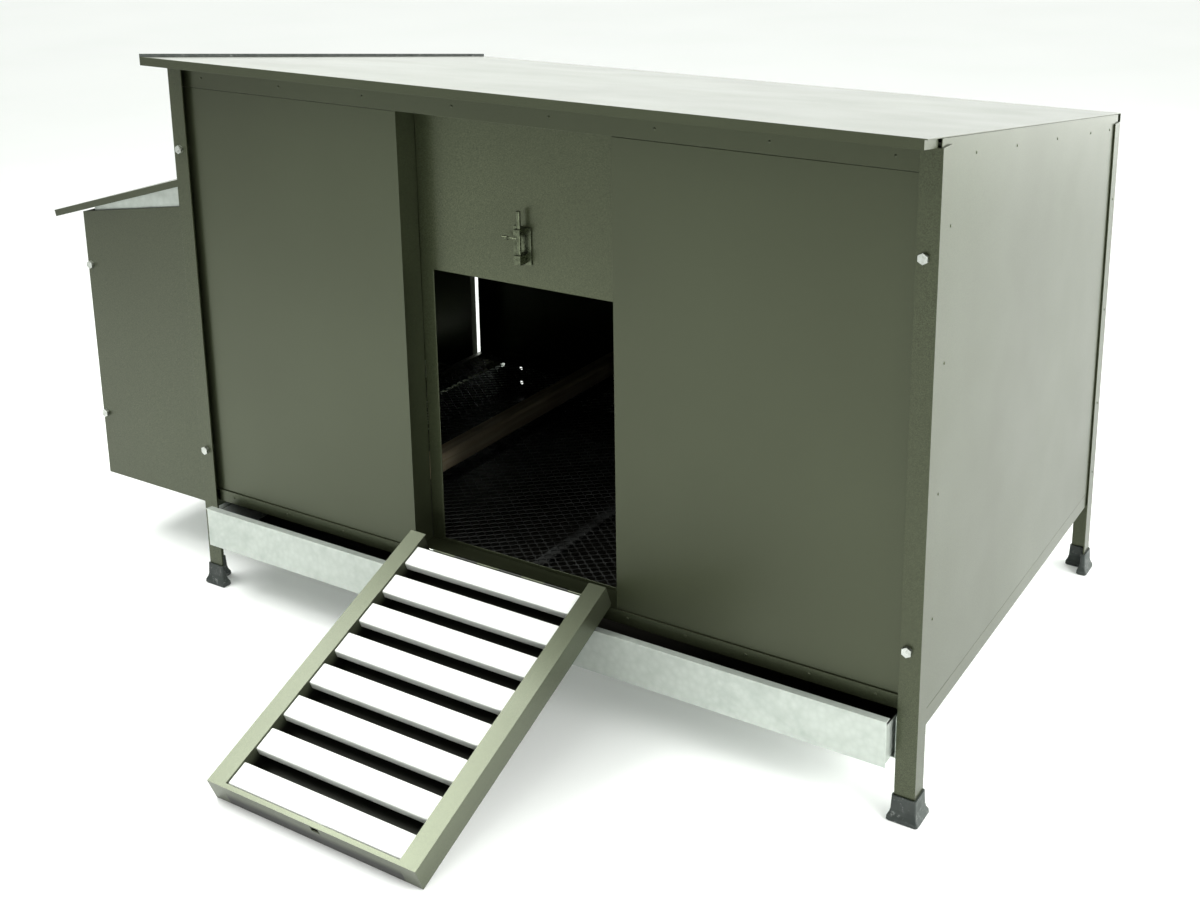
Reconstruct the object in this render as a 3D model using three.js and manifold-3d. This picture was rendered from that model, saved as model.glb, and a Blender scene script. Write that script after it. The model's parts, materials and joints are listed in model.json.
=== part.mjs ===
// Metal chicken coop on four angle legs: sheet-steel house with a sloping roof, a pop hole
// closed by a fold-up ramp door, a nest box with a hinged lid and a slide-out dropping tray.
// Millimetres, +Z up. While modelling, X runs right from the outer face of the left legs,
// Y runs back from the front face of the front legs and Z up from the floor.

import * as THREE from 'three';
import { mergeVertices } from 'three/addons/utils/BufferGeometryUtils.js';
import Module from 'manifold-3d';

const wasm = await Module();
wasm.setup();

// ---------------------------------------------------------------- driving dimensions

const WIDTH = 1333;
const DEPTH = 850;
const SHEET = 1.5;
const GAP = 0.5;
const FIT = 0.3;
const OVER = 1; // how far a cutting tool passes the face it cuts
const ROUND = { pin: 16, rod: 24 }; // sides of a drawn circle

const LEG = { flange: 30, wall: 2.5, foot: 4.5, frontTop: 934, rearTop: 822 };
const BOOT = { height: 38, pocket: 4, corner: 3 };
// Height above the floor, and how far the boot stands out from the leg there.
const BOOT_RINGS = [[0, 6.5], [2, 8], [7, 7.6], [12, 5], [18, 3.6], [BOOT.height, 2.6]];

const ROOF = {
  frontZ: 947.5, rearZ: 836, frontY: -47, rearY: 862, leftX: -9,
  lip: 14, underLip: 30, lipStop: 4, rearSkirt: 16, leftSkirt: 12, leftHem: 5,
};
const ROOF_SLOPE = (ROOF.frontZ - ROOF.rearZ) / DEPTH;

const PANEL_Y = 11;
const SIDE_INSET = 3;
const WALL_FOOT = 157;
const RAIL = { bottom: 132, flange: 22, overlap: 12 };

const RECESS = { left: 473, right: 855, top: 899, back: 54 };
const HOLE = { left: 498, right: 830, bottom: 190, top: 645 };
const SILL = { front: 8.5, bottom: 163, top: 184, shelf: 40 };
const TOP_RAIL = { drop: 3.5, flange: 29.5 };

const FLOOR = { z: 177, thick: 3, front: 57, rear: 838 };
const BEARER = { width: 20, front: 13, bottom: 165, top: 176.5, xs: [330, 664, 1000] };

const TRAY = { left: 34, right: 1299, front: -27, rear: 843, bottom: 93, top: 161.5 };
const TRAY_BODY = { inset: 3, wallTop: 150, lipBack: 12, ear: 3 };
const TRAY_HOLE = { x: 82.5, radius: 4, zs: [118, 152] };
const RUNNER = { left: LEG.flange + 1, right: WIDTH - LEG.flange - 1, bottom: 91, top: 154.5, shelf: 20 };

const HINGE = { y: 12, z: 187.5, pinRadius: 2, knuckleRadius: 3.5, boreRadius: 2.3, sink: 0.2 };
const HINGE_PIN = { left: 481, right: 841 };
const RAMP = { left: 475, right: 845, length: 488, back: -1, face: 37, stile: 30, endLip: 7, fallDeg: 22.4 };
const SLAT = { count: 8, first: 23.5, pitch: 59.8, width: 36.8, thick: 14, below: 3, ease: 1.5 };

const LATCH = {
  x: 672, bottom: 680, top: 737, left: 655, right: 687, plate: 2,
  rodY: 42, rodRadius: 3.5, wall: 2.5, guides: [[682, 696], [727, 736]],
};
const LATCH_ROD = { bottom: 683, top: 763, armRadius: 2, knobX: 643, knobZ: 720, knobRadius: 3, knob: 9 };
const STRIKE = { halfX: 7, halfY: 4.5 }; // half sizes of the slot in the ramp's end plate

const NEST = {
  outer: -300, front: 40, rear: 812, bottom: 130, outerTop: 640, wallTop: 688,
  flange: 25, floorLift: 4, liner: 10,
};
const NEST_HOLE = { bottom: 190, top: 560, hem: 12, spans: [[75, 414], [440, 800]] };
const NEST_VENT = { left: -14, right: -4, bottom: 165, top: 600, hem: 18 };
const LID = { front: 25, rear: 827, hingeX: -5, hingeZ: 735, length: 368, slopeDeg: 16, skirt: 12 };
const LID_PIN = { radius: 2.5, bore: 3, knuckle: 4.5, count: 9, inset: 40, tail: 6 };
const LID_LEAF = { below: 30, above: 3 };
const UNDER_LID = { divider: 12, strip: 2, overlap: 14 };

const PERCH = { x: 370, bottom: 224, size: 34, ease: 4, armFront: 50, armRear: 36 };

const BOLT = { hole: 4.5, shank: 4, acrossFlats: 13, head: 5.3, nut: 6.5, tail: 3 };
const LEG_BOLT_Z = [795, 258];
const LEG_BOLT_X = { left: 15, right: WIDTH - 19 };
const NEST_BOLT = { x: NEST.outer + 9, zs: [541, 252] };

// ---------------------------------------------------------------- materials

const paint = new THREE.MeshStandardMaterial({ color: 0x5e6650, roughness: 0.45, metalness: 0.35 });
const galvanised = new THREE.MeshStandardMaterial({ color: 0xc9d0cc, roughness: 0.35, metalness: 0.85 });
const slatWhite = new THREE.MeshStandardMaterial({ color: 0xeef0ea, roughness: 0.5, metalness: 0.1 });
const zinc = new THREE.MeshStandardMaterial({ color: 0xb9bdb8, roughness: 0.3, metalness: 0.9 });
const rubber = new THREE.MeshStandardMaterial({ color: 0x2f3533, roughness: 0.7, metalness: 0.0 });
const timber = new THREE.MeshStandardMaterial({ color: 0x8d7350, roughness: 0.75, metalness: 0.0 });

// ---------------------------------------------------------------- solid helpers

function toSolid(geometry) {
  const bare = geometry.clone();
  bare.deleteAttribute('normal');
  bare.deleteAttribute('uv');
  const merged = mergeVertices(bare, 1e-4);
  return new wasm.Manifold(new wasm.Mesh({
    numProp: 3,
    vertProperties: new Float32Array(merged.attributes.position.array),
    triVerts: new Uint32Array(merged.index.array),
  }));
}

function toGeometry(solid) {
  const mesh = solid.getMesh();
  const geometry = new THREE.BufferGeometry();
  geometry.setAttribute('position', new THREE.BufferAttribute(new Float32Array(mesh.vertProperties), 3));
  geometry.setIndex(new THREE.BufferAttribute(new Uint32Array(mesh.triVerts), 1));
  return geometry;
}

function join(...geometries) {
  return toGeometry(geometries.map(toSolid).reduce((sum, next) => sum.add(next)));
}

function cut(geometry, ...tools) {
  return toGeometry(tools.map(toSolid).reduce((left, tool) => left.subtract(tool), toSolid(geometry)));
}

// A block between two corners.
function block([x0, x1], [y0, y1], [z0, z1]) {
  const geometry = new THREE.BoxGeometry(x1 - x0, y1 - y0, z1 - z0);
  return geometry.translate((x0 + x1) / 2, (y0 + y1) / 2, (z0 + z1) / 2);
}

// An outline in the XY plane raised to a depth along Z.
function prism(points, depth) {
  const shape = new THREE.Shape(points.map(([u, v]) => new THREE.Vector2(u, v)));
  return new THREE.ExtrudeGeometry(shape, { depth, bevelEnabled: false });
}

// An outline in the YZ plane swept from x0 to x1.
function alongX(points, [x0, x1]) {
  const turn = new THREE.Matrix4().makeBasis(
    new THREE.Vector3(0, 1, 0), new THREE.Vector3(0, 0, 1), new THREE.Vector3(1, 0, 0));
  return prism(points, x1 - x0).applyMatrix4(turn).translate(x0, 0, 0);
}

// An outline in the XZ plane swept from y0 to y1.
function alongY(points, [y0, y1]) {
  const turn = new THREE.Matrix4().makeBasis(
    new THREE.Vector3(1, 0, 0), new THREE.Vector3(0, 0, 1), new THREE.Vector3(0, -1, 0));
  return prism(points, y1 - y0).applyMatrix4(turn).translate(0, y1, 0);
}

// A round bar along an axis; [u, v] is its place on the other two axes, in their order.
function rod(axis, radius, [start, end], [u, v], sides = ROUND.pin) {
  const geometry = new THREE.CylinderGeometry(radius, radius, end - start, sides);
  const middle = (start + end) / 2;
  if (axis === 'x') return geometry.rotateZ(-Math.PI / 2).translate(middle, u, v);
  if (axis === 'y') return geometry.translate(u, middle, v);
  return geometry.rotateX(Math.PI / 2).translate(u, v, middle);
}

// Adds one named sub-part.
function part(name, material, geometry, parent = coop) {
  const mesh = new THREE.Mesh(geometry, material);
  mesh.name = name;
  parent.add(mesh);
  return mesh;
}

const coop = new THREE.Group();

// Height of the roof's top face at a given depth.
function roofZ(y) {
  return ROOF.frontZ - ROOF_SLOPE * y;
}

// ---------------------------------------------------------------- legs and boots

const CORNERS = [
  { name: 'front_left', x: 0, y: 0, sx: 1, sy: 1, top: LEG.frontTop },
  { name: 'front_right', x: WIDTH, y: 0, sx: -1, sy: 1, top: LEG.frontTop },
  { name: 'rear_left', x: 0, y: DEPTH, sx: 1, sy: -1, top: LEG.rearTop },
  { name: 'rear_right', x: WIDTH, y: DEPTH, sx: -1, sy: -1, top: LEG.rearTop },
];

// Places points given about a leg's outer corner, keeping the outline anticlockwise.
function aboutCorner(points, corner) {
  const placed = points.map(([u, v]) => [corner.x + corner.sx * u, corner.y + corner.sy * v]);
  return corner.sx * corner.sy < 0 ? placed.reverse() : placed;
}

// The L section grown outwards by a given amount.
function angleSection(grow) {
  const near = -grow;
  const inner = LEG.wall + grow;
  const far = LEG.flange + grow;
  return [[near, near], [far, near], [far, inner], [inner, inner], [inner, far], [near, far]];
}

// The L section with each corner replaced by a short arc.
function roundedSection(grow, radius) {
  const points = angleSection(grow);
  const count = points.length;
  return points.flatMap(([px, py], i) => {
    const at = new THREE.Vector2(px, py);
    const before = new THREE.Vector2(...points[(i + count - 1) % count]).sub(at).setLength(radius);
    const after = new THREE.Vector2(...points[(i + 1) % count]).sub(at).setLength(radius);
    const curve = new THREE.QuadraticBezierCurve(at.clone().add(before), at, at.clone().add(after));
    return curve.getPoints(3).map((p) => [p.x, p.y]);
  });
}

// A cutter for a bolt hole through a sheet between y0 and y1.
function boltHole([x, z], [y0, y1]) {
  return rod('y', BOLT.hole, [y0 - OVER, y1 + OVER], [x, z]);
}

function legBoltX(corner) {
  return corner.sx > 0 ? LEG_BOLT_X.left : LEG_BOLT_X.right;
}

// Only the front legs are bolted through their front flange.
function leg(corner) {
  const section = prism(aboutCorner(angleSection(0), corner), corner.top - LEG.foot);
  const post = section.translate(0, 0, LEG.foot);
  if (corner.sy < 0) return post;
  const holes = LEG_BOLT_Z.map((z) => boltHole([legBoltX(corner), z], [0, LEG.wall]));
  return cut(post, ...holes);
}

// A closed skin through a stack of equal-length rings, capped at both ends.
function loft(rings) {
  const size = rings[0].points.length;
  const positions = rings.flatMap(({ z, points }) => points.flatMap(([x, y]) => [x, y, z]));
  const faces = [];
  for (let k = 0; k + 1 < rings.length; k += 1) {
    for (let i = 0; i < size; i += 1) {
      const a = k * size + i;
      const b = k * size + ((i + 1) % size);
      faces.push(a, b, b + size, a, b + size, a + size);
    }
  }
  const flat = rings[0].points.map(([x, y]) => new THREE.Vector2(x, y));
  const topStart = (rings.length - 1) * size;
  const top = rings[rings.length - 1].points.map(([x, y]) => new THREE.Vector2(x, y));
  THREE.ShapeUtils.triangulateShape(flat, []).forEach(([a, b, c]) => faces.push(a, c, b));
  THREE.ShapeUtils.triangulateShape(top, []).forEach(([a, b, c]) => {
    faces.push(topStart + a, topStart + b, topStart + c);
  });
  const geometry = new THREE.BufferGeometry();
  geometry.setAttribute('position', new THREE.Float32BufferAttribute(positions, 3));
  geometry.setIndex(faces);
  return geometry;
}

function boot(corner) {
  const rings = BOOT_RINGS.map(([z, grow]) => ({
    z,
    points: aboutCorner(roundedSection(grow, BOOT.corner), corner),
  }));
  const pocket = prism(aboutCorner(angleSection(FIT), corner), BOOT.height).translate(0, 0, BOOT.pocket);
  return cut(loft(rings), pocket);
}

for (const corner of CORNERS) {
  part(`leg_${corner.name}`, paint, leg(corner));
  part(`boot_${corner.name}`, rubber, boot(corner));
}

// ---------------------------------------------------------------- fasteners

// A hexagon-head screw along +Y with its nut, its head bearing at y = bear.
function boltWithNut(x, z, bear, nutFace) {
  const radius = BOLT.acrossFlats / Math.sqrt(3);
  const head = rod('y', radius, [bear - BOLT.head, bear], [x, z], 6);
  const nut = rod('y', radius, [nutFace, nutFace + BOLT.nut], [x, z], 6);
  const shank = rod('y', BOLT.shank, [bear - OVER, nutFace + BOLT.nut + BOLT.tail], [x, z]);
  return join(head, shank, nut);
}

for (const corner of CORNERS.filter(({ sy }) => sy > 0)) {
  LEG_BOLT_Z.forEach((z, i) => {
    const name = `leg_bolt_${corner.name}_${i + 1}`;
    part(name, zinc, boltWithNut(legBoltX(corner), z, -FIT, PANEL_Y + SHEET + FIT));
  });
}

// ---------------------------------------------------------------- front wall

const panelTop = RECESS.top - GAP;
const panelFoot = SILL.top + GAP;
const leftWallX = SIDE_INSET + SHEET + GAP;
const rightWallX = WIDTH - leftWallX;

// A front panel: its face, a jamb folded back at the doorway and a hem folded back at the leg.
function frontPanel(outerX, innerX, boltX) {
  const jambX = innerX > outerX ? [innerX - SHEET, innerX] : [innerX, innerX + SHEET];
  const hemX = innerX > outerX ? [outerX, outerX + SHEET] : [outerX - SHEET, outerX];
  const span = [Math.min(outerX, innerX), Math.max(outerX, innerX)];
  const face = block(span, [PANEL_Y, PANEL_Y + SHEET], [panelFoot, panelTop]);
  const jamb = block(jambX, [PANEL_Y, RECESS.back - GAP], [panelFoot, panelTop]);
  const hem = block(hemX, [PANEL_Y, LEG.flange], [panelFoot, panelTop]);
  const holes = LEG_BOLT_Z.map((z) => boltHole([boltX, z], [PANEL_Y, PANEL_Y + SHEET]));
  return cut(join(face, jamb, hem), ...holes);
}

part('front_panel_left', paint, frontPanel(leftWallX, RECESS.left, LEG_BOLT_X.left));
part('front_panel_right', paint, frontPanel(rightWallX, RECESS.right, LEG_BOLT_X.right));

// The rail above the doorway is folded back along its top and over the recess.
function topRail() {
  const span = [leftWallX, rightWallX];
  const top = roofZ(PANEL_Y + LEG.flange) - TOP_RAIL.drop;
  const face = block(span, [PANEL_Y, PANEL_Y + SHEET], [RECESS.top, top]);
  const ceiling = block(span, [PANEL_Y, RECESS.back + SHEET], [RECESS.top, RECESS.top + SHEET]);
  const upper = block(span, [PANEL_Y, PANEL_Y + TOP_RAIL.flange], [top - SHEET, top]);
  return join(face, ceiling, upper);
}
part('front_top_rail', paint, topRail());

// The plate at the back of the recess, with the pop hole in it.
function doorFrame() {
  const span = [RECESS.left + GAP, RECESS.right - GAP];
  const plate = block(span, [RECESS.back, RECESS.back + SHEET], [SILL.top + GAP, RECESS.top - GAP]);
  const through = [RECESS.back - OVER, RECESS.back + SHEET + OVER];
  const hole = block([HOLE.left, HOLE.right], through, [HOLE.bottom, HOLE.top]);
  return cut(plate, hole);
}
part('pop_hole_frame', paint, doorFrame());

// Knuckles sit in turn on the sill and on the ramp.
const KNUCKLE = { count: 7, start: 509, end: 811 };

function knuckleSpans(parity, gap) {
  const length = (KNUCKLE.end - KNUCKLE.start) / KNUCKLE.count;
  const spans = [];
  for (let i = parity; i < KNUCKLE.count; i += 2) {
    spans.push([KNUCKLE.start + i * length + gap, KNUCKLE.start + (i + 1) * length - gap]);
  }
  return spans;
}

// The sill: a channel whose step carries the floor's front edge and the fixed hinge knuckles.
function sillRail() {
  const span = [RUNNER.left, RUNNER.right];
  const wide = [leftWallX, rightWallX];
  const face = block(span, [SILL.front, SILL.front + SHEET], [SILL.bottom, SILL.top]);
  const shelf = block(wide, [SILL.front, SILL.shelf], [SILL.bottom, SILL.bottom + SHEET]);
  const step = block(wide, [SILL.front, RECESS.back + SHEET], [SILL.top - SHEET, SILL.top]);
  const knuckles = knuckleSpans(0, FIT).map((x) => (
    rod('x', HINGE.knuckleRadius, x, [HINGE.y, HINGE.z - HINGE.sink])));
  const bore = rod('x', HINGE.boreRadius, [RAMP.left, RAMP.right], [HINGE.y, HINGE.z]);
  return cut(join(face, shelf, step, ...knuckles), bore);
}
part('sill_rail', paint, sillRail());

const pinSpan = [HINGE_PIN.left, HINGE_PIN.right];
part('ramp_hinge_pin', zinc, rod('x', HINGE.pinRadius, pinSpan, [HINGE.y, HINGE.z]));

// ---------------------------------------------------------------- side and rear walls

// A side wall's outline in the YZ plane, its top just under the sloping roof.
function sideOutline(y0, y1, foot) {
  const clear = SHEET + GAP;
  return [[y0, foot], [y1, foot], [y1, roofZ(y1) - clear], [y0, roofZ(y0) - clear]];
}

const sideSpan = [LEG.wall + GAP, DEPTH - LEG.wall - SHEET - GAP * 2];
const rearWallY = [DEPTH - LEG.wall - SHEET - GAP, DEPTH - LEG.wall - GAP];

// A side wall whose outer face is at outerX; inward is 1 or -1, towards the middle.
function sideWall(outerX, inward) {
  const x = [outerX, outerX + inward * SHEET].sort((a, b) => a - b);
  return alongX(sideOutline(...sideSpan, WALL_FOOT + GAP), x);
}

// The left wall opens into the two nests, with a hem folded inwards under each opening.
function leftWall() {
  const holes = NEST_HOLE.spans.map((y) => (
    block([SIDE_INSET - OVER, SIDE_INSET + SHEET + OVER], y, [NEST_HOLE.bottom, NEST_HOLE.top])));
  const hems = NEST_HOLE.spans.map((y) => (
    block([SIDE_INSET, SIDE_INSET + NEST_HOLE.hem], y, [NEST_HOLE.bottom - SHEET, NEST_HOLE.bottom])));
  return join(cut(sideWall(SIDE_INSET, 1), ...holes), ...hems);
}
part('side_panel_left', paint, leftWall());
part('side_panel_right', paint, sideWall(WIDTH - SIDE_INSET, -1));

// The rear panel laps over the outside of the rear rail, so no light passes between them.
const rearTop = roofZ(rearWallY[1]) - SHEET - GAP;
part('rear_panel', paint, block([leftWallX, rightWallX], rearWallY, [SILL.top - RAIL.overlap, rearTop]));

// Angle rails under the side walls: a face and an inward flange at its top.
function sideRail(outerX, inward) {
  const faceX = [outerX, outerX + inward * SHEET].sort((a, b) => a - b);
  const flangeX = [outerX, outerX + inward * RAIL.flange].sort((a, b) => a - b);
  const y = [SILL.shelf + GAP, DEPTH - LEG.flange - GAP * 3];
  const face = block(faceX, sideSpan, [RAIL.bottom, WALL_FOOT]);
  const flange = block(flangeX, y, [WALL_FOOT - SHEET, WALL_FOOT]);
  return join(face, flange);
}
part('side_rail_left', paint, sideRail(SIDE_INSET, 1));
part('side_rail_right', paint, sideRail(WIDTH - SIDE_INSET, -1));

// The rear rail's flange is at its foot, where it carries the floor bearers and lets the tray pass below.
function rearRail() {
  const span = [leftWallX, rightWallX];
  const outer = rearWallY[0] - GAP;
  const face = block(span, [outer - SHEET, outer], [SILL.bottom, SILL.top]);
  const flange = block(span, [outer - RAIL.flange, outer], [SILL.bottom, SILL.bottom + SHEET]);
  return join(face, flange);
}
part('rear_rail', paint, rearRail());

// ---------------------------------------------------------------- roof

// The roof sheet: front lip folded down and back with a tab closing its right end, skirts down
// the left and rear edges, and a low hem standing up along the left edge.
function roof() {
  const { frontY, rearY, leftX, lip, underLip, lipStop, rearSkirt, leftSkirt, leftHem } = ROOF;
  const rightX = WIDTH - LEG.wall - GAP;
  const lipEnd = rightX - lipStop;
  const lipX = [leftX, lipEnd];
  const band = (y0, y1, from, to) => [
    [y0, roofZ(y0) - to], [y1, roofZ(y1) - to], [y1, roofZ(y1) - from], [y0, roofZ(y0) - from]];
  const sheet = alongX(band(frontY, rearY, 0, SHEET), [leftX, rightX]);
  const fascia = alongX(band(frontY, frontY + SHEET, 0, lip), lipX);
  const returnLip = alongX(band(frontY, frontY + underLip, lip - SHEET, lip), lipX);
  const rear = alongX(band(rearY - SHEET, rearY, 0, rearSkirt), [leftX, rightX]);
  const left = alongX(band(frontY, rearY, -leftHem, leftSkirt), [leftX, leftX + SHEET]);
  const endTab = alongX(band(frontY, -GAP * 2, 0, lip), [lipEnd - SHEET, lipEnd]);
  return join(sheet, fascia, returnLip, rear, left, endTab);
}
part('roof_sheet', paint, roof());

// ---------------------------------------------------------------- floor, perch

part('floor_mesh', galvanised, block(
  [leftWallX + GAP, rightWallX - GAP], [FLOOR.front, FLOOR.rear], [FLOOR.z, FLOOR.z + FLOOR.thick]));

// Channels, open side down, that carry the floor between the sill and the rear rail.
BEARER.xs.forEach((x, i) => {
  const half = BEARER.width / 2;
  const y = [BEARER.front, FLOOR.rear];
  const top = block([x - half, x + half], y, [BEARER.top - SHEET, BEARER.top]);
  const sides = [x - half, x + half - SHEET].map((x0) => (
    block([x0, x0 + SHEET], y, [BEARER.bottom, BEARER.top])));
  part(`floor_bearer_${i + 1}`, galvanised, join(top, ...sides));
});

// A cradle on a wall plate: the bar drops in between its cheeks.
function perchBracket(plateY, armY) {
  const left = PERCH.x - PERCH.size / 2 - GAP - SHEET;
  const right = PERCH.x + PERCH.size / 2 + GAP + SHEET;
  const high = PERCH.bottom + PERCH.size / 2;
  const low = PERCH.bottom - GAP - SHEET;
  const plate = block([left, right], plateY, [low, high]);
  const bed = block([left, right], armY, [low, low + SHEET]);
  const cheeks = [left, right - SHEET].map((x0) => block([x0, x0 + SHEET], armY, [low, high]));
  return join(plate, bed, ...cheeks);
}
const frontFace = PANEL_Y + SHEET + GAP;
const rearFace = rearWallY[0] - GAP;
part('perch_bracket_front', galvanised, perchBracket(
  [frontFace, frontFace + SHEET], [frontFace, PERCH.armFront]));
part('perch_bracket_rear', galvanised, perchBracket(
  [rearFace - SHEET, rearFace], [rearFace - PERCH.armRear, rearFace]));

// A square bar with eased corners.
function perchBar() {
  const { x, bottom, size, ease } = PERCH;
  const half = size / 2;
  const outline = [
    [x - half + ease, bottom], [x + half - ease, bottom], [x + half, bottom + ease],
    [x + half, bottom + size - ease], [x + half - ease, bottom + size], [x - half + ease, bottom + size],
    [x - half, bottom + size - ease], [x - half, bottom + ease]];
  return alongY(outline, [frontFace + SHEET + GAP, rearFace - SHEET - GAP]);
}
part('perch', timber, perchBar());

// ---------------------------------------------------------------- dropping tray

// A shallow tray: its tall front plate ends in a top lip, with a pointed end at the left leg,
// and two holes in its rear wall take a hook for pulling it out.
function tray() {
  const x0 = TRAY.left + TRAY_BODY.inset;
  const x1 = TRAY.right - TRAY_BODY.inset;
  const wallZ = [TRAY.bottom, TRAY_BODY.wallTop];
  const y = [TRAY.front, TRAY.rear];
  const lipY = [TRAY.front, TRAY.front + TRAY_BODY.lipBack];
  const front = block([TRAY.left, TRAY.right], [TRAY.front, TRAY.front + SHEET], [TRAY.bottom, TRAY.top]);
  const lip = prism([
    [TRAY.left - TRAY_BODY.ear, lipY[0]], [TRAY.right, lipY[0]], [TRAY.right, lipY[1]], [TRAY.left, lipY[1]],
  ], SHEET).translate(0, 0, TRAY.top - SHEET);
  const base = block([x0, x1], y, [TRAY.bottom, TRAY.bottom + SHEET]);
  const rear = block([x0, x1], [TRAY.rear - SHEET, TRAY.rear], [TRAY.bottom, TRAY.top]);
  const sides = [x0, x1 - SHEET].map((x) => block([x, x + SHEET], y, wallZ));
  const holes = TRAY_HOLE.zs.map((z) => (
    rod('y', TRAY_HOLE.radius, [TRAY.rear - SHEET - OVER, TRAY.rear + OVER], [TRAY_HOLE.x, z])));
  return cut(join(front, lip, base, rear, ...sides), ...holes);
}
part('dropping_tray', galvanised, tray());

// An angle between a front and a rear leg, with the shelf that the tray slides on at its foot.
function runner(outerX, inward) {
  const { bottom, top, shelf } = RUNNER;
  const faceX = outerX + inward * SHEET;
  const shelfX = outerX + inward * shelf;
  const section = [
    [outerX, bottom], [shelfX, bottom], [shelfX, bottom + SHEET],
    [faceX, bottom + SHEET], [faceX, top], [outerX, top],
  ];
  const outline = inward > 0 ? section : section.reverse();
  return alongY(outline, [LEG.wall + GAP, DEPTH - LEG.wall - GAP]);
}
part('tray_runner_left', galvanised, runner(RUNNER.left, 1));
part('tray_runner_right', galvanised, runner(RUNNER.right, -1));

// ---------------------------------------------------------------- ramp door

// Modelled upright as when shut, about the hinge axis, then lowered to the floor:
// local Y runs from the pan's back towards the slats, local Z along the ramp.
const ramp = new THREE.Group();
ramp.position.set(0, HINGE.y, HINGE.z);
ramp.rotation.x = THREE.MathUtils.degToRad(90 + RAMP.fallDeg);
coop.add(ramp);

// Where the latch rod meets the closed ramp.
const slotY = LATCH.rodY - HINGE.y;

// The door is a pan: a skin with a stile folded along each side and a plate across its free end.
function rampPan() {
  const { left, right, length, back, face, stile, endLip } = RAMP;
  const clearZ = HINGE.knuckleRadius + OVER;
  const x = [left, right];
  const depth = [back, face];
  const skin = block(x, [back, back + SHEET], [clearZ, length]);
  const endPlate = block(x, depth, [length - SHEET, length]);
  const lip = block(x, [face - SHEET, face], [length - endLip, length]);
  const cheeks = [left, right - SHEET].map((x0) => block([x0, x0 + SHEET], depth, [0, length]));
  const caps = [left, right - stile].map((x0) => (
    block([x0, x0 + stile], [face - SHEET, face], [0, length])));
  const inner = [left + stile - SHEET, right - stile].map((x0) => (
    block([x0, x0 + SHEET], depth, [clearZ, length])));
  const leaves = knuckleSpans(1, FIT).map((span) => (
    block(span, [back, back + SHEET], [0, clearZ + OVER])));
  const knuckles = knuckleSpans(1, FIT).map((span) => rod('x', HINGE.knuckleRadius, span, [0, 0]));
  const bore = rod('x', HINGE.boreRadius, [left - OVER, right + OVER], [0, 0]);
  const slot = block(
    [LATCH.x - STRIKE.halfX, LATCH.x + STRIKE.halfX],
    [slotY - STRIKE.halfY, slotY + STRIKE.halfY],
    [length - SHEET - OVER, length + OVER]);
  return cut(join(skin, endPlate, lip, ...cheeks, ...caps, ...inner, ...leaves, ...knuckles), bore, slot);
}
part('ramp_pan', paint, rampPan(), ramp);

// A tread across the ramp, its two upper edges eased.
function slat(start) {
  const { width, thick, below, ease } = SLAT;
  const top = RAMP.face - below;
  const outline = [
    [top - thick, start], [top - ease, start], [top, start + ease],
    [top, start + width - ease], [top - ease, start + width], [top - thick, start + width]];
  return alongX(outline, [RAMP.left + RAMP.stile + GAP, RAMP.right - RAMP.stile - GAP]);
}
for (let i = 0; i < SLAT.count; i += 1) {
  part(`ramp_slat_${i + 1}`, slatWhite, slat(SLAT.first + i * SLAT.pitch), ramp);
}

// ---------------------------------------------------------------- latch

function latchHousing() {
  const back = RECESS.back - FIT;
  const front = back - LATCH.plate;
  const plate = block([LATCH.left, LATCH.right], [front, back], [LATCH.bottom, LATCH.top]);
  const half = LATCH.rodRadius + LATCH.wall;
  const guides = LATCH.guides.map((z) => (
    block([LATCH.x - half, LATCH.x + half], [LATCH.rodY - half, front + OVER], z)));
  const through = [LATCH.bottom - OVER, LATCH.top + OVER];
  const bore = rod('z', LATCH.rodRadius + FIT, through, [LATCH.x, LATCH.rodY], ROUND.rod);
  return cut(join(plate, ...guides), bore);
}
part('latch_housing', zinc, latchHousing());

// The rod with a side arm that ends in a knob.
function latchBolt() {
  const { bottom, top, armRadius, knobX, knobZ, knobRadius, knob } = LATCH_ROD;
  const place = [LATCH.rodY, knobZ];
  const stem = rod('z', LATCH.rodRadius, [bottom, top], [LATCH.x, LATCH.rodY], ROUND.rod);
  const arm = rod('x', armRadius, [knobX, LATCH.x], place);
  const grip = rod('x', knobRadius, [knobX, knobX + knob], place);
  return join(stem, arm, grip);
}
part('latch_bolt', zinc, latchBolt());

// ---------------------------------------------------------------- nest box

const nestInnerX = LEG.wall;
const nestWallSlope = (NEST.wallTop - NEST.outerTop) / (nestInnerX - NEST.outer);

function nestEndTop(x) {
  return NEST.outerTop + nestWallSlope * (x - NEST.outer);
}

// An end panel of the nest box, between two depths.
function nestEnd(y) {
  const x0 = NEST.outer;
  const x1 = nestInnerX;
  const outline = [[x0, NEST.bottom], [x1, NEST.bottom], [x1, nestEndTop(x1)], [x0, nestEndTop(x0)]];
  return alongY(outline, y);
}

const nestFrontY = [NEST.front, NEST.front + SHEET];
const nestRearY = [NEST.rear - SHEET, NEST.rear];
const nestHoles = NEST_BOLT.zs.map((z) => boltHole([NEST_BOLT.x, z], [NEST.front, NEST.front + BOLT.nut]));
part('nest_front_panel', paint, cut(nestEnd(nestFrontY), ...nestHoles));
// A tall slot beside the house wall airs the nest box.
const ventSlot = block(
  [NEST_VENT.left, NEST_VENT.right],
  [nestRearY[0] - OVER, nestRearY[1] + OVER],
  [NEST_VENT.bottom, NEST_VENT.top]);
const ventHem = block(
  [NEST_VENT.left - SHEET, NEST_VENT.left],
  [nestRearY[1] - NEST_VENT.hem, nestRearY[1]],
  [NEST_VENT.bottom, NEST_VENT.top]);
part('nest_rear_panel', paint, join(cut(nestEnd(nestRearY), ventSlot), ventHem));

const nestInside = [nestFrontY[1] + GAP, nestRearY[0] - GAP];

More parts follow.
